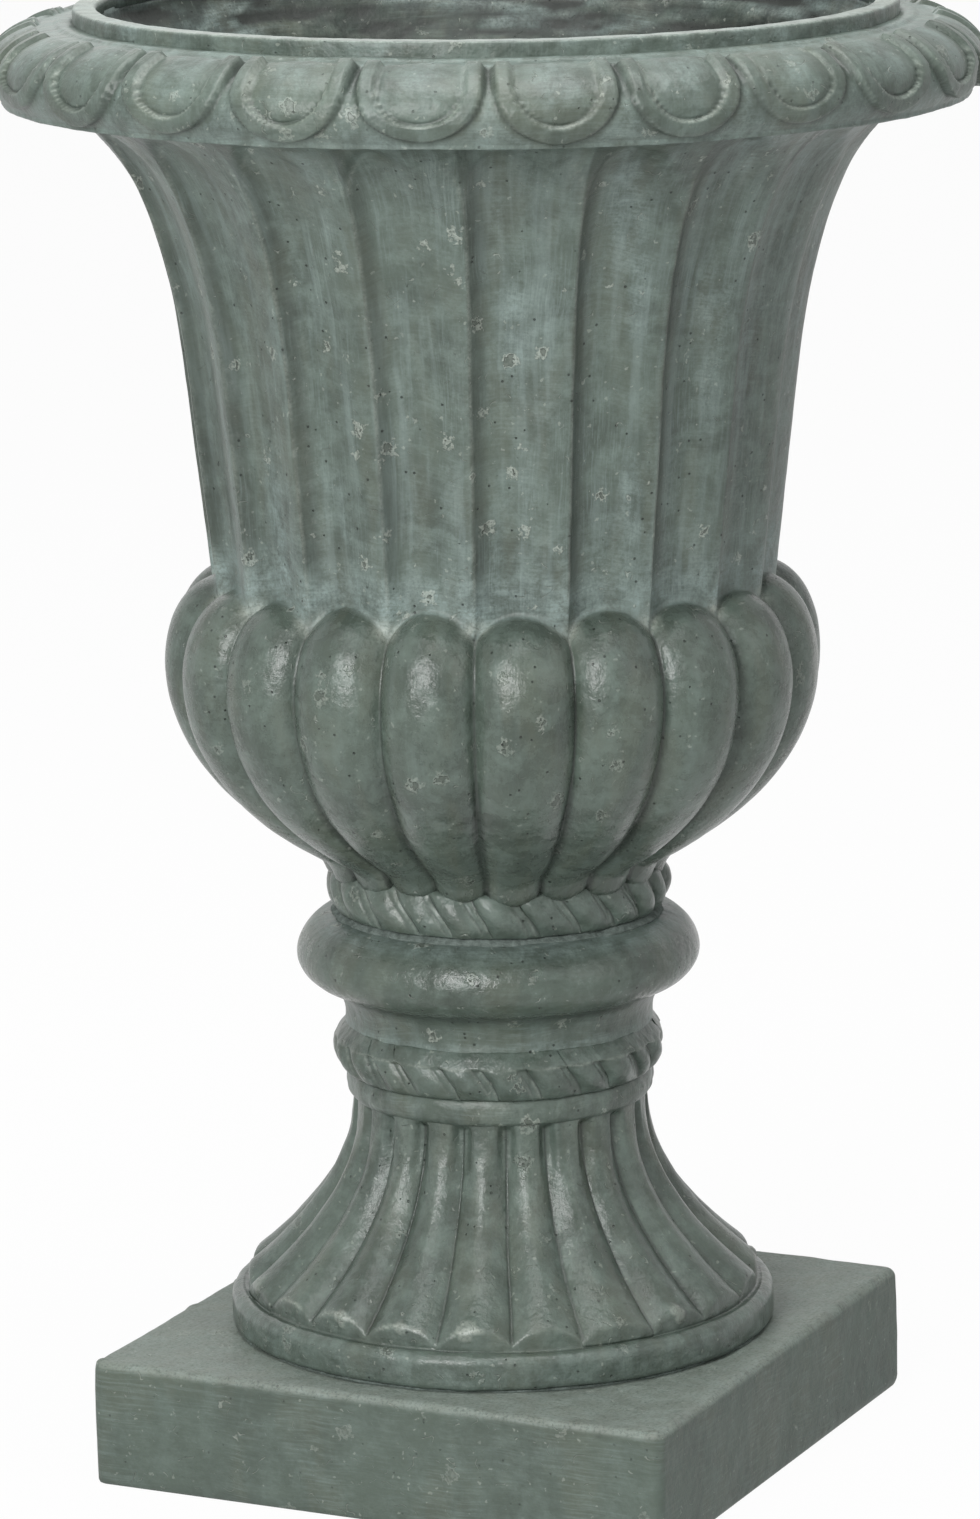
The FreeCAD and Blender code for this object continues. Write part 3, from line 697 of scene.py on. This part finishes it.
def makeRope(name, foot, height, middle, edge, plainTop, backLine, seed):  # plainTop is the share left uncarved
    wander, relief = rope["handWander"], rope["relief"]
    theta, across, strand = panelColumns(rope["strands"], 24, bowl["panelTurn"], wander, seed)
    rng = np.random.default_rng(seed + 1)
    full = 1 + handSpread(rng, 0.12, strand)
    along = np.linspace(0, 1, 44)
    arch = np.sin(np.pi * along)
    carved = ease(along, 1.02 - plainTop, 0.92 - plainTop)
    skewed = across + 0.28 * (1 - across**2)
    cut = 0.95 - carved * (np.abs(skewed) ** 2.2 - 0.05)
    nick = 0.8 * hump(across, 0.62, 0.07) * arch * carved  # second thin groove beside each crease
    radius = edge + (middle - relief - edge) * arch + relief * full * cut * arch ** (1 - 0.5 * carved) - nick
    curl = (rope["lean"] * (0.5 - along) + 0.5 * np.sin(2 * np.pi * along)) * (2 - full)
    front = polar(theta + np.radians(curl), radius, foot + height * along)
    grid = join([front, lathe(theta, backLine)], 1)
    lump = 0.4 * noise(grid, 14, seed + 2) + 0.16 * noise(grid, 4, seed + 5, 2)
    # paler strand edges are rubbed wear and painted highlight; the pale line along the top of the carving is a painted
    # highlight
    wornAndLit = (0.5 * hump(across, 0.88, 0.05) + 0.3 * hump(across, 0.5, 0.07)) * arch**0.5 * carved
    wornAndLit = wornAndLit + 0.55 * hump(along, 0.98 - plainTop, 0.025) * arch
    # painted shade in the creases between strands
    crease = 0.8 * ease(np.abs(across), 0.94, 1) * arch**0.3 + 0.35 * hump(across, 0.62, 0.05) * arch
    traits = {"wearAndSheen": frontOnly(grid, wornAndLit), "hollow": frontOnly(grid, crease * carved), "frost": 0.06, "burnish": 0.7}
    return ringPiece(name, swell(grid, lump), traits)


print("making the bowl")
bowlClay = clayFinish("bowlClay")
rimClay = clayFinish("rimClay", strokesUp=0.1, haze=0.1, frostAll=0.1, pits=0.5)
# a darker copy of the clay for the inside of the bowl: painted shade
insideClayPaintedShade = clayFinish(
    "insideClayPaintedShade", strokesUp=0.05, strokesRound=0.12, haze=0, frostAll=0, pits=0.4, roughness=0.6,
    deep=rgb(24, 32, 27), body=rgb(36, 46, 39), pale=rgb(64, 76, 68),
)
ropeClay = clayFinish("ropeClay", strokesUp=0.1, haze=0.1)
collarFoot, collarHeight = bowl["collarFoot"], bowl["collarTop"] - bowl["collarFoot"]
collarBack = [
    (80, 310.5), (70, 310), (60, 312), (53.5, 300), (52, 274.5), (49, 274), (47, 284),
    (47, 287.9), (51.5, 287.5), (53, 286), (60, 286), (75, 286),
]
bowlPieces = [
    (makeBowlSkin(), bowlClay), (makeBowlRim(), rimClay), (makeBowlLip(), rimClay),
    (makeBowlLining(), insideClayPaintedShade), (makeBowlFloor(), insideClayPaintedShade),
    (makeRope("bowlCollar", collarFoot, collarHeight, 88.5, 83, 0, collarBack, 101), ropeClay),
]
for piece, clay in bowlPieces:
    settle(piece, "urn", "bowl", "cast_clay", clay)


# Pedestal

pedestal = {
    "foot": 67, "top": 283, "bore": 54, "torus": (82, 262), "torusReach": 22, "torusUpper": 21,
    "torusLower": 16.5, "coveFoot": (79.5, 226), "ropeFoot": 201, "bead": (76.4, 194),
    "reeds": 22, "reedTurn": 10.4, "bandRadius": 132.3, "ringRadius": 141, "handWander": 0.35,
}


def makePedestalNeck():
    bore, high, beadLevel = pedestal["bore"], pedestal["top"], pedestal["bead"][1]
    top = sectionLine([(bore, high), (82, high)], 3)
    centre, reach = pedestal["torus"], pedestal["torusReach"]
    upper = arcLine(centre, (reach, pedestal["torusUpper"]), 90, 0, 24)[1:]
    lower = arcLine(centre, (reach, pedestal["torusLower"]), 0, -76, 26)[1:]
    share = np.linspace(0.08, 1, 18)[:, None]
    pull, coveFoot = np.array([77.8, 238.5]), np.array(pedestal["coveFoot"])
    cove = (1 - share) ** 2 * lower[-1] + 2 * share * (1 - share) * pull + share**2 * coveFoot
    hidden = sectionLine([(79, 222), (76.5, 205), (76.5, 201.5)], 4)
    bead = arcLine(pedestal["bead"], (2.9, 7), 90, -90, 20)
    back = sectionLine([(74, 186), (bore, 186), (bore, high)], 8)[:-1]
    grid = lathe(evenColumns(400), join([top, upper, lower, cove, hidden, bead, back]))
    grid = roughen(grid, (0.5, 55, 111), (0.16, 15, 115))
    grid = swell(grid, 0.7 * noise(grid, 10, 118) * hump(grid[..., 2], beadLevel, 7))
    z = grid[..., 2]
    # painted shade under the torus roll and under the bead
    return ringPiece("pedestalNeck", grid, {
        "wearAndSheen": 0.1 * hump(z, beadLevel, 5), "hollow": 0.45 * hump(z, 244, 2.2) + 0.06 * hump(z, 187.5, 1.2),
        "frost": 0.48 * ease(z, 275, 282) + 0.3 * ease(z, 232, 227) * ease(z, 205, 215),
        "burnish": ease(z, 280, 272) * ease(z, 244, 248),
    })


def makePedestalFoot():
    count, foot, ringR = pedestal["reeds"], pedestal["foot"], pedestal["ringRadius"]
    theta, across, reed = panelColumns(count, 28, pedestal["reedTurn"], pedestal["handWander"], 121)
    rng = np.random.default_rng(123)
    along = np.linspace(1, 0, 92)
    height = 85 + 103 * along
    drop = (187 - height) / 92
    topDepth, footDepth = 4.4 + handSpread(rng, 0.4, reed), 9.4 + handSpread(rng, 0.5, reed)
    depth = footDepth + (topDepth - footDepth) * along
    crest = 76.5 + 56 * np.clip(drop, 0, 2) ** 2 + handSpread(rng, 0.4, reed)
    start = ease(along, 1, 0.955)
    side = np.abs(across)
    tongue = ease(np.abs(across + handSpread(rng, 0.05, reed)), 0.46, 0.86)  # squared near the bead, soft below
    ridge = side ** (1.65 + 0.7 * ease(along, 0.45, 0.05))
    low = ease(along, 0.96, 0.66)
    reedR = crest - depth * (tongue * (1 - low) + ridge * low) * start
    bandR = pedestal["bandRadius"] + handSpread(rng, 0.35, reed)
    past = reedR - bandR  # how far a reed stands beyond the plain band that trims it
    radius = -softMax(-reedR, -bandR, 0.7)
    front = polar(theta + np.radians(0.4) * softNoise(polar(theta, reedR, height), 40, 125), radius, height)
    inner = [(103, 68), (84, 90), (66, 120), (54, 150), (49, 165), (49, 188), (74, 188.5)]
    ring = join([
        sectionLine([(132.6, 84.6), (135, 84.8)], 1.2),
        arcLine((ringR - 6, 79), (6, 6), 88, 0, 9),
        sectionLine([(ringR, 77), (ringR, foot + 1)], 1.6),
        sectionLine([(140.2, 67.2), (136, foot), (104.5, foot)], 6),
        sectionLine(inner, 7),
    ])
    grid = join([front, lathe(theta, ring)], 1)
    rows = front.shape[1]
    lumpy = ease(grid[..., 2], 86, 82)
    lump = 0.4 * noise(grid, 40, 127) + (0.18 + 0.1 * lumpy) * noise(grid, 11, 131)
    grid = swell(grid, lump + 0.5 * lumpy * noise(grid, 30, 133))
    spots = []
    for number in (1, 4, 7, 10, 13, 15, 16, 17, 20):  # reeds with a knocked foot
        picks = np.where(reed == number)[0]
        middle = picks[side[picks, 0].argmin() + (number * 5) % 7 - 3]
        spots.append(grid[middle, int(np.abs(past[middle]).argmin())])
    grid, rawAndLit = knocks(grid, spots, 5, 1)
    # paler arch edges and upper reed crests: rubbed wear and painted highlight
    wornAndLit = 0.08 * hump(past, 0, 1.2) * ease(side, 0.98, 0.8)
    wornAndLit = wornAndLit + 0.12 * hump(across, 0, 0.3) * ease(height, 120, 150)
    # painted shade in the creases between reeds
    crease = 0.65 * ease(side, 0.9, 1) * ease(past, 1, -2) * start
    frost = 0.14 * lumpy
    frost[:, :rows] = 0.03
    rawAndLit = 0.25 * rawAndLit
    # pale marks on four front reed ends: chipped wear and painted glints
    chippedAndGlint = np.isin(reed, (14, 15, 16, 17))[:, None] * ease(softNoise(front, 7, 129), -0.5, 0.1)
    rawAndLit[:, :rows] += 0.34 * chippedAndGlint * hump(past, -0.2, 0.9) * ease(side, 0.8, 0.55)
    # painted shade along the joint between the plain band and the ring
    inside = 1 - ease(np.hypot(grid[..., 0], grid[..., 1]), 133.5, 135.5)
    hollow = frontOnly(grid, crease) + 0.2 * hump(grid[..., 2], 84.8, 0.8) * inside
    return ringPiece("pedestalFoot", grid, {
        "wearAndSheen": frontOnly(grid, wornAndLit), "hollow": hollow, "frost": frost, "rawAndLit": rawAndLit, "burnish": 0.8,
    })


print("making the pedestal")
neckClay = clayFinish("neckClay", strokesUp=0.05, strokesRound=0.2, haze=0.1, roughness=0.37)
footClay = clayFinish("footClay", strokesUp=0.15, haze=0.15, pits=0.7)
ropeBack = [(79, 226.3), (72, 226), (70, 213), (72, 201), (79, 200.7)]
pedestalPieces = [
    (makePedestalNeck(), neckClay),
    (makeRope("pedestalRope", pedestal["ropeFoot"], 25, 86, 79.5, 0.3, ropeBack, 141), ropeClay),
    (makePedestalFoot(), footClay),
]
for piece, clay in pedestalPieces:
    settle(piece, "urn", "pedestal", "cast_clay", clay)


# Plinth

plinth = {
    "half": 158.5, "height": 65, "cornerRound": 6, "edgeRound": 4.5, "drainRadius": 40, "hollowInset": 30,
    "hollowTop": 35, "chips": 26, "perSide": 104, "perCorner": 10,
}


def squareLoop(inset):  # points round a rounded square, always the same count, the -Y side first
    half, bendR = plinth["half"] - inset, max(plinth["cornerRound"] - inset, 0.6)
    run = np.linspace(-(half - bendR), half - bendR, plinth["perSide"])
    swing = np.linspace(0, np.pi / 2, plinth["perCorner"] + 2)[1:-1]
    side = np.stack([run, np.full(run.shape, -half)], -1)
    corner = np.stack([half - bendR + bendR * np.sin(swing), -(half - bendR) - bendR * np.cos(swing)], -1)
    quarter = join([side, corner])
    turns = [np.array([[math.cos(t), -math.sin(t)], [math.sin(t), math.cos(t)]]) for t in np.arange(4) * np.pi / 2]
    return join([quarter @ turn.T for turn in turns])


def makePlinth():
    height, bendR = plinth["height"], plinth["edgeRound"]
    inset, ceiling = plinth["hollowInset"], plinth["hollowTop"]
    turns = np.linspace(1, 0, 34, endpoint=False)
    rows = [(bendR, height - 0.6 * math.sin(math.pi * share), share) for share in turns]
    swings = np.radians(np.linspace(90, 0, 8))
    rows += [(bendR * (1 - math.cos(s)), height - bendR * (1 - math.sin(s)), 0) for s in swings]
    rows += [(0, level, 0) for level in np.linspace(height - bendR - 2, 2, 27)]
    foot = [(0.5, 0.6), (1.6, 0), (14, 0), (26.5, 0), (28, 1), (28, 12), (28, 24), (28.5, 34)]
    rows += [(*corner, 0) for corner in foot + [(inset, ceiling)]]
    rows += [(inset, ceiling, share) for share in np.linspace(0.1, 1, 10)]
    rows += [(bendR, level, 1) for level in np.linspace(38, 62, 5)]

    def ringRow(inset, level, share):  # from the square at share 0 to the round drain opening at 1
        square = squareLoop(inset)
        turn = np.arctan2(square[:, 1], square[:, 0])
        circle = plinth["drainRadius"] * np.stack([np.cos(turn), np.sin(turn)], -1)
        return np.column_stack([square * (1 - share) + circle * share, np.full(len(square), level)])

    grid = np.stack([ringRow(*row) for row in rows], 1)
    traits = edgesOf(grid, 1.2)
    soft = 0.9 * noise(grid, 90, 151) + 0.4 * noise(grid, 22, 155)
    grid = swell(grid, (soft - 0.8) * ease(grid[..., 2], 0, 6))
    picks = np.random.default_rng(157).integers(0, grid.shape[0], plinth["chips"])
    onEdge = len(turns) + 3  # a row half way round the upper edge
    grid, chips = knocks(grid, [grid[pick, onEdge] for pick in picks], 3.6, 0.9)
    grid[..., 2] = np.maximum(grid[..., 2], 0)
    z = grid[..., 2]
    onTop = ease(z, 61, 64)
    traits["wearAndSheen"] = 0.5 * traits["wearAndSheen"] * ease(z, 50, 60)
    # painted shade in the knocked chips
    traits["hollow"] = 0.3 * chips
    # the top face is made paler: grey dust and painted light from above
    traits["frost"] = 0.06 * ease(z, 62, 50) + 0.25 * onTop
    traits["rawAndLit"] = 0.22 * onTop
    return ringPiece("plinthSlab", grid, traits)


print("making the plinth")
plinthClay = clayFinish(
    "plinthClay", strokesUp=0, strokesRound=0.18, haze=0, frostAll=0.05, pits=0.4, roughness=0.55,
    deep=rgb(68, 78, 70), pale=rgb(86, 98, 90),
)
settle(makePlinth(), "urn", "plinth", "cast_clay", plinthClay)


# Bedding squeezed out between the castings

bedding = {
    "bowlReach": 82.2, "bowlCove": 4, "pedestalReach": 139, "ragged": 1.3, "wedgeTurn": 65, "wedge": 3,
}


def makeBedding(name, inner, outer, cove, low, high, wedge, seed):
    theta = evenColumns(260)
    bulge = wedge * hump(np.degrees(theta), bedding["wedgeTurn"], 14)
    ragged = bedding["ragged"] * noise(polar(theta, 120, 0), 14, seed, 4) + bulge
    share = np.array([0, 0.15, 0.5, 0.85, 1])
    reach = outer + cove * (1 - share) ** 1.5 + ragged * (0.6 + 0.4 * np.sin(np.pi * share))
    reach = reach - 0.8 * (2 * share - 1) ** 2
    front = polar(theta, reach, low + (high - low) * share - 0.6 * (share == 0) * (cove > 0))
    back = lathe(theta, [(outer - 8, high), (inner, high), (inner, low), (outer - 8, low)])
    return ringPiece(name, join([front, back], 1), {})


mortar = mortarFinish("beddingMortar")
upperBed = (53, bedding["bowlReach"], bedding["bowlCove"], 283, 286, bedding["wedge"], 161)
lowerBed = (104, bedding["pedestalReach"], 0, 65, 67, 0, 165)
settle(makeBedding("bowlBedding", *upperBed), "urn", "bowl_bedding", "mortar", mortar)
settle(makeBedding("pedestalBedding", *lowerBed), "urn", "pedestal_bedding", "mortar", mortar)


# Rod, nuts, washers, bar and seal

hardware = {
    "rodRadius": 6, "pitch": 1.75, "threadDepth": 0.95, "acrossFlats": 19, "nutBore": 6.05, "hole": 6.5,
    "barLength": 150, "barWidth": 40, "barCorner": 4, "barBevel": 0.8,
}


def makeRod(low, high):
    theta, pitch = evenColumns(28), hardware["pitch"]
    levels = np.arange(low + 1, high - 1, pitch / 6)
    phase = (levels / pitch - theta / (2 * np.pi)) % 1
    radius = hardware["rodRadius"] - hardware["threadDepth"] * np.abs(2 * phase - 1) ** 1.3
    ends = [(4.9, high), (2, high), (0.2, high), (0.2, low), (2, low), (4.9, low)]
    return ringPiece("tieRod", join([polar(theta, radius, levels), lathe(theta, ends)], 1), {})


def makeNut(name, low, high):
    theta, tall = evenColumns(96), high - low
    flat, bore = hardware["acrossFlats"] / 2, hardware["nutBore"]
    hexR = flat / np.cos((theta + np.pi / 6) % (np.pi / 3) - np.pi / 6)
    rise = np.array([0, 0.35, 0.8, 1.4, 0.25 * tall, 0.5 * tall])
    rise = join([rise, tall - rise[-2::-1]])
    near = np.minimum(rise, tall - rise)
    radius = np.minimum(hexR - 0.15 * (near < 0.2), flat * 0.97 + near / math.tan(math.radians(30)))
    back = [(bore + 1, high), (bore, high - 0.8), (bore, low + 0.8), (bore + 1, low)]
    return ringPiece(name, join([polar(theta, radius, low + rise), lathe(theta, back)], 1), {})


def makeWasher(name, outer, low, high, bendR):
    inner, part = hardware["hole"], bendR * 0.3
    half = [(inner, bendR), (inner + part, 0), (inner + 2, 0), (outer - 2, 0), (outer - bendR, 0)]
    half += [(outer - part, part), (outer, bendR)]
    line = [(radius, low + rise) for radius, rise in half] + [(radius, high - rise) for radius, rise in half[::-1]]
    return ringPiece(name, lathe(evenColumns(120), line), {})


def makeClampBar():
    bendR, swing = hardware["barCorner"], np.linspace(0, np.pi / 2, 7)
    run = np.array([hardware["barLength"], hardware["barWidth"]]) / 2 - bendR
    corner = run + bendR * np.stack([np.cos(swing), np.sin(swing)], -1)
    quarters = [(corner * (sx, sy))[:: sx * sy] for sx, sy in ((1, 1), (-1, 1), (-1, -1), (1, -1))]
    loops = [join(quarters), circleLoop(0, 0, hardware["hole"], 40)]
    piece = platePiece("clampBar", loops, 5, 29, 35, 0, 171)
    rounding = piece.modifiers.new("easedEdges", "BEVEL")
    rounding.width, rounding.segments, rounding.limit_method = hardware["barBevel"] * mm, 2, "ANGLE"
    return piece


print("making the hardware")
zinc = ("zinc_steel", zincFinish("zincSteel"))
rubber = ("rubber", rubberFinish("plugRubber"))
hardwarePieces = [
    ("tie_rod", makeRod(6, 336), zinc),
    ("top_nut", makeNut("topNut", 320, 330), zinc),
    ("bottom_nut", makeNut("bottomNut", 16, 26), zinc),
    ("jam_nut", makeNut("jamNut", 9, 16), zinc),
    ("top_washer", makeWasher("topWasher", 20, 317, 320, 0.6), zinc),
    ("bottom_washer", makeWasher("bottomWasher", 20, 26, 29, 0.6), zinc),
    ("top_seal", makeWasher("topSeal", 22, 314, 317, 1.2), rubber),
    ("clamp_bar", makeClampBar(), zinc),
]
for node, piece, (slot, material) in hardwarePieces:
    settle(piece, "urn", node, slot, material)


# Drain plugs, each on a body of its own

plug = {"seat": 314.3, "shank": 20, "headHeight": 4, "knobHeight": 12, "ribPitch": 4, "ribHeight": 0.35}


def makePlug(number):
    theta = evenColumns(64)
    seat, top = plug["seat"], plug["seat"] + plug["headHeight"]
    foot, knobTop = seat - plug["shank"], top + plug["knobHeight"]
    levels = np.linspace(foot + 0.8, seat - 0.3, 40)
    ribs = plug["ribHeight"] * np.clip(np.cos((levels - foot) * 2 * np.pi / plug["ribPitch"]), 0, 1) ** 2
    line = join([
        [(0.3, foot), (4, foot), (6.2, foot + 0.2)],
        np.stack([6.35 + 1 * (levels - foot) / plug["shank"] + ribs, levels], -1),
        sectionLine([(8.5, seat), (11.4, seat)], 1),
        arcLine((11.2, seat + 0.8), (0.8, 0.8), -60, 0, 4),
        arcLine((10.8, top - 1.2), (1.2, 1.2), 0, 90, 6),
        sectionLine([(9, top), (4.6, top + 0.1)], 1.4),
        arcLine((4.7, top + 1.2), (-1.2, 1.2), -70, 0, 5),
        sectionLine([(3.5, top + 2.2), (3.5, top + 3.4)], 0.8),
        arcLine((2.9, top + 7.8), (3.1, 4.2), -60, 90, 16),
        [(1.6, knobTop), (0.3, knobTop)],
    ])
    grid = lathe(theta, line)
    seam = 0.12 * np.clip(np.cos(2 * theta), 0.985, 1) - 0.118  # faint mould line on two sides
    grid = swell(grid, np.broadcast_to(seam, grid.shape[:2]) * (grid[..., 2] > seat))
    return ringPiece(f"drainPlug{number}", grid + np.array([*drainSpot(number), 0]), {})


for number in (1, 2, 3):
    settle(makePlug(number), f"drain_plug_{number}", f"drain_plug_{number}", *rubber)


# Camera, floor and light

stage = {
    "azimuth": 25.2, "distance": 3.315, "height": 1.068, "pitch": 12.04, "roll": -0.77, "aside": -0.003,
    "focal": 6604, "photoHeight": 1519, "sensor": 36, "world": 0.21, "floorWhite": 0.965, "lampAim": 0.42,
}
lamps = [  # name, azimuth, elevation, distance, size, power
    ("key", 2, 21, 2.6, (1, 1.2), 56),
    ("overhead", 20, 80, 2.4, (1.8, 1.8), 58),
    ("fill", 78, 24, 2.6, (1.2, 1.6), 7.5),
    ("behind", 215, 32, 2.6, (1.4, 1.4), 6),
]


def makeCamera():
    turn = math.radians(stage["azimuth"])
    right = Vector((math.cos(turn), math.sin(turn), 0))
    back = Vector((math.sin(turn), -math.cos(turn), 0))
    data = bpy.data.cameras.new("photoCamera")
    data.sensor_fit = "AUTO"
    data.sensor_width = stage["sensor"]
    data.lens = stage["focal"] * stage["sensor"] / stage["photoHeight"]
    data.clip_end = 50
    camera = newObject("photoCamera", data)
    spot = back * stage["distance"] + right * stage["aside"] + Vector((0, 0, stage["height"]))
    tilt, roll = math.radians(90 - stage["pitch"]), math.radians(stage["roll"])
    aim = Matrix.Rotation(turn, 4, "Z") @ Matrix.Rotation(tilt, 4, "X") @ Matrix.Rotation(roll, 4, "Z")
    camera.matrix_world = Matrix.Translation(spot) @ aim
    bpy.context.scene.camera = camera


def softBox(name, azimuth, elevation, distance, size, power):
    turn, lift = math.radians(azimuth), math.radians(elevation)
    data = bpy.data.lights.new(name, "AREA")
    data.shape = "RECTANGLE"
    data.size, data.size_y = size
    data.energy = power
    lamp = newObject(name, data)
    away = Vector((math.sin(turn) * math.cos(lift), -math.cos(turn) * math.cos(lift), math.sin(lift)))
    lamp.location = Vector((0, 0, stage["lampAim"])) + away * distance
    lamp.rotation_euler = (-away).to_track_quat("-Z", "Y").to_euler()


def whiteShare(tree):
    camera = put(tree, "LightPath", "Is Camera Ray", {})
    return camera.most(camera.also("Is Glossy Ray")).most(camera.also("Is Transmission Ray"))


def makeStage():
    world = bpy.data.worlds.new("studio")
    world.use_nodes = True
    bpy.context.scene.world = world
    tree = world.node_tree
    background = tree.nodes["Background"]
    background.inputs["Color"].default_value = (1, 1, 1, 1)
    feed(tree, background.inputs["Strength"], whiteShare(tree).fade(0, 1, stage["world"], 1))
    mesh = bpy.data.meshes.new("floor")
    mesh.from_pydata([(-9, -9, 0), (9, -9, 0), (9, 9, 0), (-9, 9, 0)], [], [(0, 1, 2, 3)])
    floor = newObject("floor", mesh)
    material, place = newFinish("floorPaint")
    tree = material.node_tree
    paint = place.grain(3).tint((0.66, 0.66, 0.66, 1), (0.7, 0.7, 0.7, 1))
    wire(material, {"Base Color": paint, "Roughness": 0.9, "Specular IOR Level": 0})
    lit = Signal(tree, tree.nodes["Principled BSDF"].outputs[0])
    glow = put(tree, "Emission", 0, {"Color": (1, 1, 1, 1), "Strength": 1})
    joined = put(tree, "MixShader", 0, {0: whiteShare(tree) * stage["floorWhite"], 1: lit, 2: glow})
    feed(tree, tree.nodes["Material Output"].inputs["Surface"], joined)
    floor.data.materials.append(material)
    for lamp in lamps:
        softBox(*lamp)


makeCamera()
makeStage()
bpy.context.scene.view_settings.view_transform = "Standard"

print("finished")
